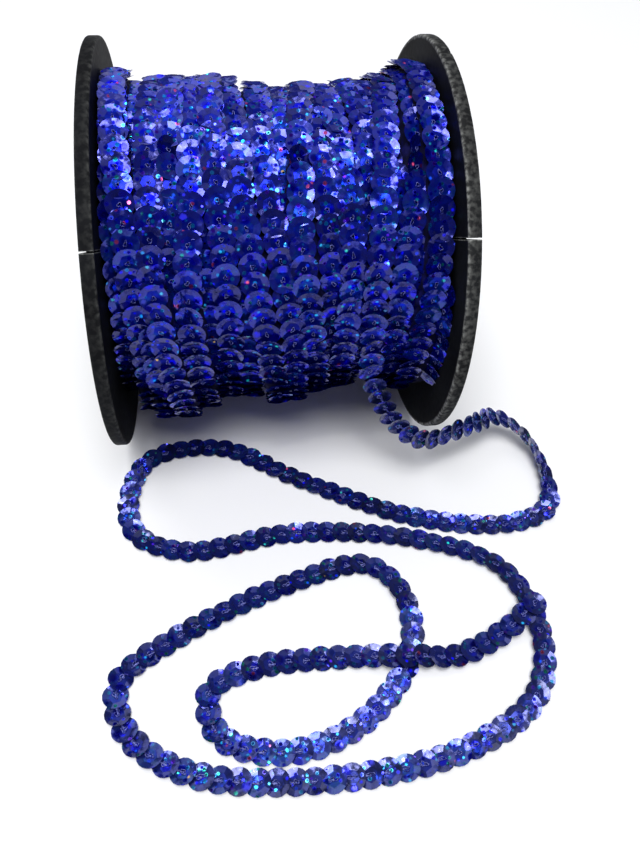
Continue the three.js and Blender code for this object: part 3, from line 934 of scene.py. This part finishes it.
def sequin_material(name, painted_shade_on_blue, painted_sheen):
    """Blue holographic film: deep blue, with broad blue grains and fine grains of several colours.

    The grains flash where their leaning surface meets a light. A few small flecks are painted glints,
    bright from every side. The bent rim facets are shinier than the flat middle. The film's blue is
    scaled by a factor, a painted shade where it is below one, and a painted grey sheen is added to
    its red and green.
    """
    material, nodes, links, shader = new_material(name)
    where = nodes.new("ShaderNodeTexCoord")
    cloud = noise_of(nodes, links, where, CLOUD_SCALE)
    own = math_node(nodes, links, "MULTIPLY_ADD", attribute_of(nodes, "sequin"), OWN_WEIGHT, TONE_SHIFT)
    sway = math_node(nodes, links, "MULTIPLY_ADD", cloud.outputs["Fac"], CLOUD_WEIGHT, own)
    tone = color_ramp(nodes, links, sway, FILM_TONES)
    broad, broad_hue, broad_lean = grains_of(nodes, links, where, *BROAD_GRAINS)
    fine, fine_hue, fine_lean = grains_of(nodes, links, where, *FINE_GRAINS)
    # Painted glints: flecks with no metal, bright from every side.
    painted_glint, painted_glint_hue = painted_glints_of(nodes, links, where)

    color = mix_colors(nodes, links, broad, tone, broad_hue)
    color = mix_colors(nodes, links, fine, color, fine_hue)
    # Blue scaled down for painted shade, then a painted grey sheen added to red and green.
    color = vector_math(nodes, links, "MULTIPLY", color, (1, 1, painted_shade_on_blue))
    color = vector_math(nodes, links, "ADD", color, (painted_sheen, PAINTED_SHEEN_GREEN * painted_sheen, 0))
    links.new(mix_colors(nodes, links, painted_glint, color, painted_glint_hue), shader.inputs["Base Color"])

    grain = math_node(nodes, links, "MAXIMUM", broad, fine)
    metal = math_node(nodes, links, "MULTIPLY_ADD", grain, GRAIN_METAL, FILM_METAL)
    plain = math_node(nodes, links, "SUBTRACT", 1.0, painted_glint)
    links.new(math_node(nodes, links, "MULTIPLY", metal, plain), shader.inputs["Metallic"])

    normal = nodes.new("ShaderNodeNewGeometry").outputs["Normal"]
    off = vector_math(nodes, links, "SUBTRACT", cloud.outputs["Color"], MIDDLE)
    for lean in (broad_lean, fine_lean, vector_math(nodes, links, "SCALE", off, RIPPLE)):
        normal = vector_math(nodes, links, "ADD", normal, lean)
    turned = nodes.new("ShaderNodeVectorMath")
    turned.operation = "NORMALIZE"
    links.new(normal, turned.inputs[0])
    links.new(turned.outputs[0], shader.inputs["Normal"])
    links.new(turned.outputs[0], shader.inputs["Coat Normal"])

    rim = math_node(nodes, links, "GREATER_THAN", attribute_of(nodes, "rim"), RIM_LEVEL)
    gloss = math_node(nodes, links, "MULTIPLY_ADD", rim, RIM_GLOSS, FLAT_GLOSS)
    links.new(gloss, shader.inputs["Specular IOR Level"])
    links.new(math_node(nodes, links, "MULTIPLY", rim, RIM_COAT), shader.inputs["Coat Weight"])
    shader.inputs["Coat Roughness"].default_value = 0.16
    shader.inputs["Roughness"].default_value = 0.22
    return material


def thread_material():
    """Fine blue thread, with paler patches painted on as glints."""
    material, nodes, links, shader = new_material("thread")
    noise = noise_of(nodes, links, nodes.new("ShaderNodeTexCoord"), 2200.0)
    # Noise between dark blue and pale lavender: the pale patches are painted glints.
    tone = [(0.42, (0.01, 0.015, 0.18)), (0.60, (0.17, 0.19, 0.55))]
    links.new(color_ramp(nodes, links, noise.outputs["Fac"], tone), shader.inputs["Base Color"])
    shader.inputs["Roughness"].default_value = 0.35
    return material


def plastic_material():
    """Black moulded plastic with faint mottling, fine scuffs, and paler rim corners and slit lips, partly
    wear and partly a painted highlight.
    """
    material, nodes, links, shader = new_material("spool_plastic")
    where = nodes.new("ShaderNodeTexCoord")
    mottle = noise_of(nodes, links, where, 60.0, 6.0).outputs["Fac"]
    tone = color_ramp(nodes, links, mottle, [(0.3, (0.004, 0.004, 0.005)), (0.75, (0.012, 0.013, 0.015))])
    coarse = noise_of(nodes, links, where, 800.0, 5.0).outputs["Fac"]
    patchy = color_ramp(nodes, links, coarse, [(0.42, (0.12, 0.12, 0.12)), (0.70, (1, 1, 1))])
    # Pale rim corners and slit lips: partly wear, partly a painted highlight along the edge.
    worn_and_lit = math_node(nodes, links, "MULTIPLY", attribute_of(nodes, "wear_and_highlight"), patchy)
    color = mix_colors(nodes, links, worn_and_lit, tone, (0.34, 0.345, 0.325))
    links.new(color, shader.inputs["Base Color"])
    grit = noise_of(nodes, links, where, 700.0).outputs["Fac"]
    rough = nodes.new("ShaderNodeMapRange")
    rough.inputs["To Min"].default_value = 0.42
    rough.inputs["To Max"].default_value = 0.6
    links.new(grit, rough.inputs["Value"])
    links.new(rough.outputs[0], shader.inputs["Roughness"])
    shader.inputs["IOR"].default_value = 1.06
    bump = nodes.new("ShaderNodeBump")
    bump.inputs["Strength"].default_value = 0.15
    bump.inputs["Distance"].default_value = 0.0001
    links.new(grit, bump.inputs["Height"])
    links.new(bump.outputs[0], shader.inputs["Normal"])
    return material


def body_painted_shade_material():
    """Wound trim deep between the turns: near-black blue, a painted shade, with dim flecks."""
    material, nodes, links, shader = new_material("winding_depth_painted_shade")
    cells = cells_of(nodes, links, nodes.new("ShaderNodeTexCoord"), 420.0)
    # Near-black blue: painted shade of the deep layers, which are the same blue film.
    tone = [(0.0, (0.006, 0.006, 0.09)), (0.6, (0.002, 0.002, 0.02))]
    links.new(color_ramp(nodes, links, cells.outputs["Distance"], tone), shader.inputs["Base Color"])
    shader.inputs["Roughness"].default_value = 0.8
    shader.inputs["Specular IOR Level"].default_value = 0.1
    return material


wound_film = sequin_material("wound_film", 1.0, 0.0)
# The loose end's copy of the same film: darker blue as painted shade, and a painted grey sheen.
tail_film_painted_shade_sheen = sequin_material("tail_film_painted_shade_sheen", 0.7, 0.012)
thread_look = thread_material()
plastic_look = plastic_material()
body_painted_shade_look = body_painted_shade_material()
for piece, look in (
    (tail_sequins, tail_film_painted_shade_sheen),
    (winding_sequins, wound_film),
    (winding_under_layer, wound_film),
    (tail_stitches, thread_look),
    (winding_stitches, thread_look),
    (tail_thread, thread_look),
    (winding_body, body_painted_shade_look),
    (flange_left, plastic_look),
    (flange_right, plastic_look),
    (barrel, plastic_look),
):
    piece.data.materials.append(look)


# Floor, lights and surroundings. Lights: name, place and size in metres, power in watts.
FLOOR_HALF_WIDTH = 1500.0
LIGHTS = [
    ("overhead", (-0.08, -0.38, 1.2), 0.6, 12.5),
    ("back_soft", (-0.45, 0.90, 1.10), 1.2, 6.5),
    ("small_overhead", (-0.08, -0.32, 1.0), 0.045, 0.7),
]

# Sky colours by height, from straight down at 0 to straight up at 1.
SKY_STRENGTH = 1.1
SKY_COLORS = [
    (0.0, (0.09, 0.09, 0.10)),
    (0.68, (0.10, 0.10, 0.11)),
    (0.86, (0.60, 0.63, 0.70)),
    (0.94, (0.60, 0.63, 0.70)),
    (1.0, (0.45, 0.47, 0.52)),
]


def make_floor():
    """Plain pale floor."""
    half = FLOOR_HALF_WIDTH
    corners = [(-half, -half, 0), (half, -half, 0), (half, half, 0), (-half, half, 0)]
    floor = put_mesh("floor", corners, [(0, 1, 2, 3)])
    material, _, _, shader = new_material("floor_white")
    shader.inputs["Base Color"].default_value = (0.9, 0.9, 0.9, 1)
    shader.inputs["Roughness"].default_value = 0.9
    shader.inputs["Specular IOR Level"].default_value = 0.1
    floor.data.materials.append(material)


def make_light(name, at, size, power):
    """Square area light that points at the spool's foot, where the frame's origin lies."""
    data = bpy.data.lights.new(name, "AREA")
    data.size = size
    data.energy = power
    light = bpy.data.objects.new(name, data)
    bpy.context.collection.objects.link(light)
    light.location = at
    light.rotation_euler = (-Vector(at)).to_track_quat("-Z", "Y").to_euler()


def make_sky():
    """Studio surroundings: dark about the level, bright overhead."""
    world = bpy.data.worlds.new("studio")
    world.use_nodes = True
    nodes = world.node_tree.nodes
    links = world.node_tree.links
    where = nodes.new("ShaderNodeTexCoord")
    split = nodes.new("ShaderNodeSeparateXYZ")
    links.new(where.outputs["Generated"], split.inputs[0])
    sky = color_ramp(nodes, links, split.outputs[2], SKY_COLORS)
    links.new(sky, nodes["Background"].inputs[0])
    nodes["Background"].inputs[1].default_value = SKY_STRENGTH
    bpy.context.scene.world = world


make_floor()
for settings in LIGHTS:
    make_light(*settings)
make_sky()
bpy.context.scene.view_settings.view_transform = "Standard"
